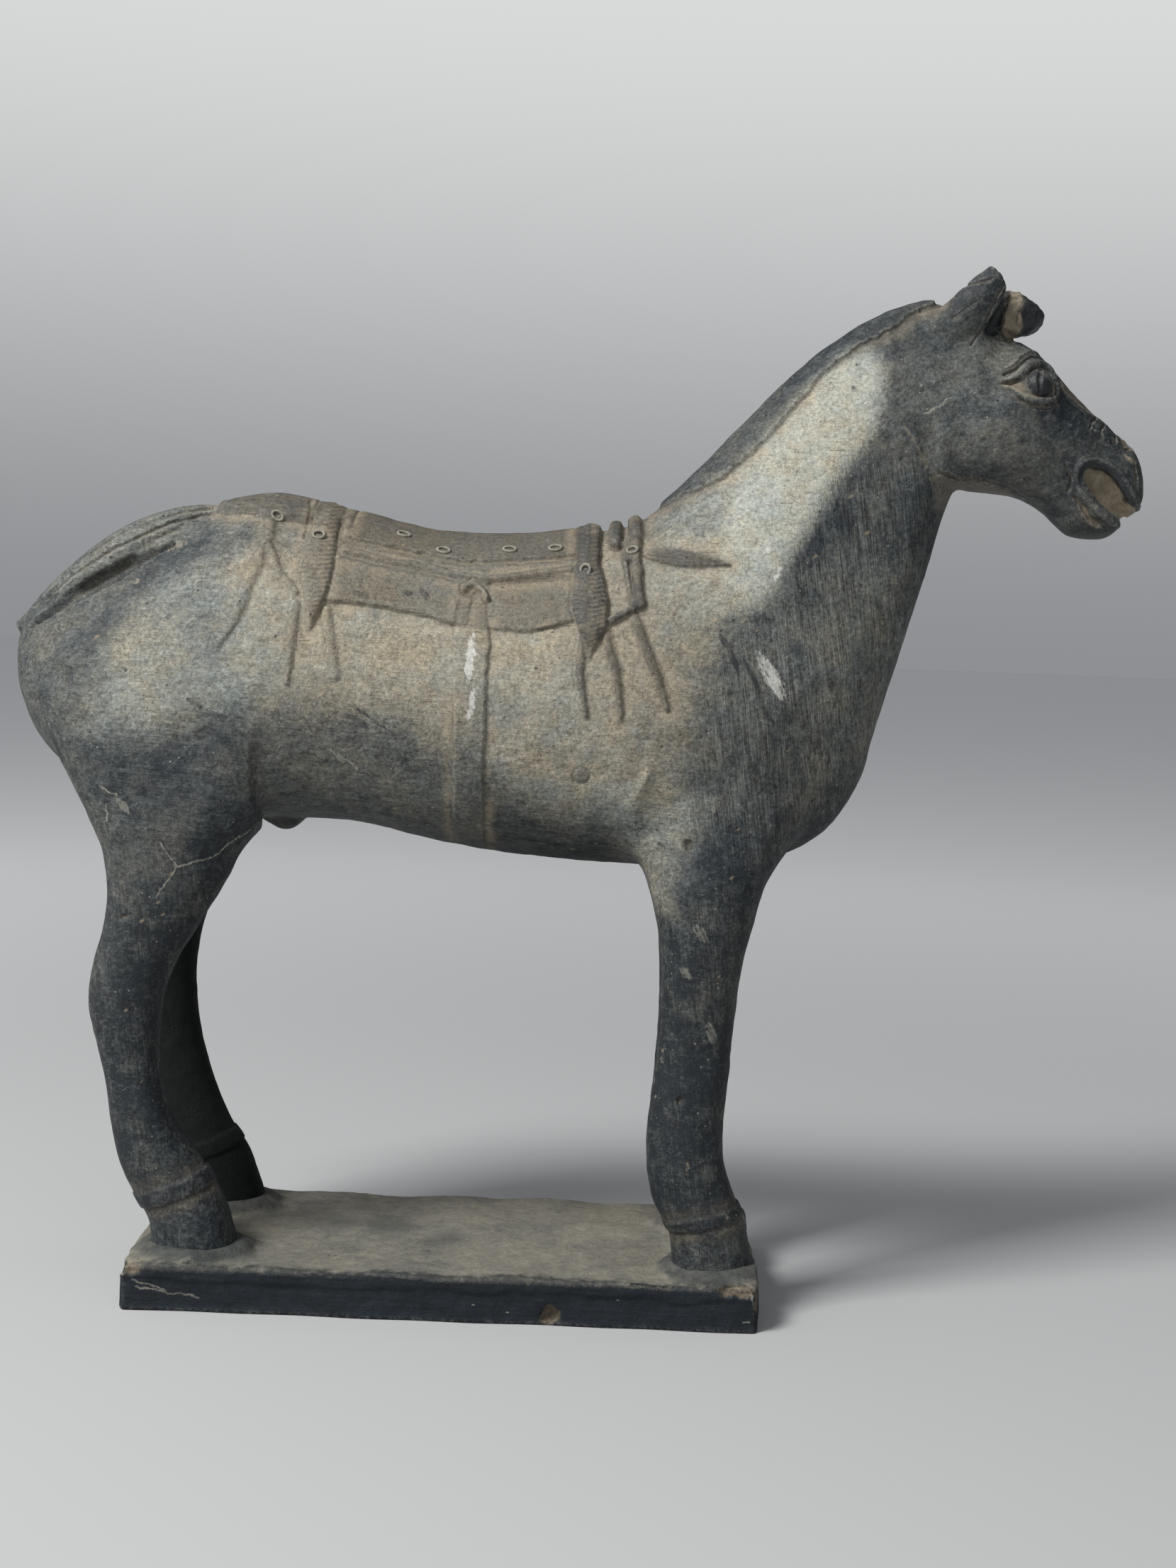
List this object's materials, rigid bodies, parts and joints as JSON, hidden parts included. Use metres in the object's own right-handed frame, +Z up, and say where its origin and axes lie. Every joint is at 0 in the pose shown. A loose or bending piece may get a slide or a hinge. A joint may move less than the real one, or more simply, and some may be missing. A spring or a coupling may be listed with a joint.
{
  "type": "terracotta tomb horse figure",
  "caption": "Standing saddled horse of smoked grey fired clay on a low rectangular slab, with a broken forelock, a saddle pad, a girth and hanging straps; a figure for display.",
  "frame": {"origin": "centre of the slab's underside, on the surface that the figure stands on", "axes": "+X to the horse's head, +Y to its left side, +Z up"},
  "size_m": [0.3937, 0.1071, 0.3636],
  "materials": {
    "smoked_clay": "matt unglazed clay, fired grey-black, rubbed pale beige-grey over the neck, saddle and flank"
  },
  "bodies": {
    "root": {"tomb_horse": "smoked_clay"}
  },
  "joints": []
}
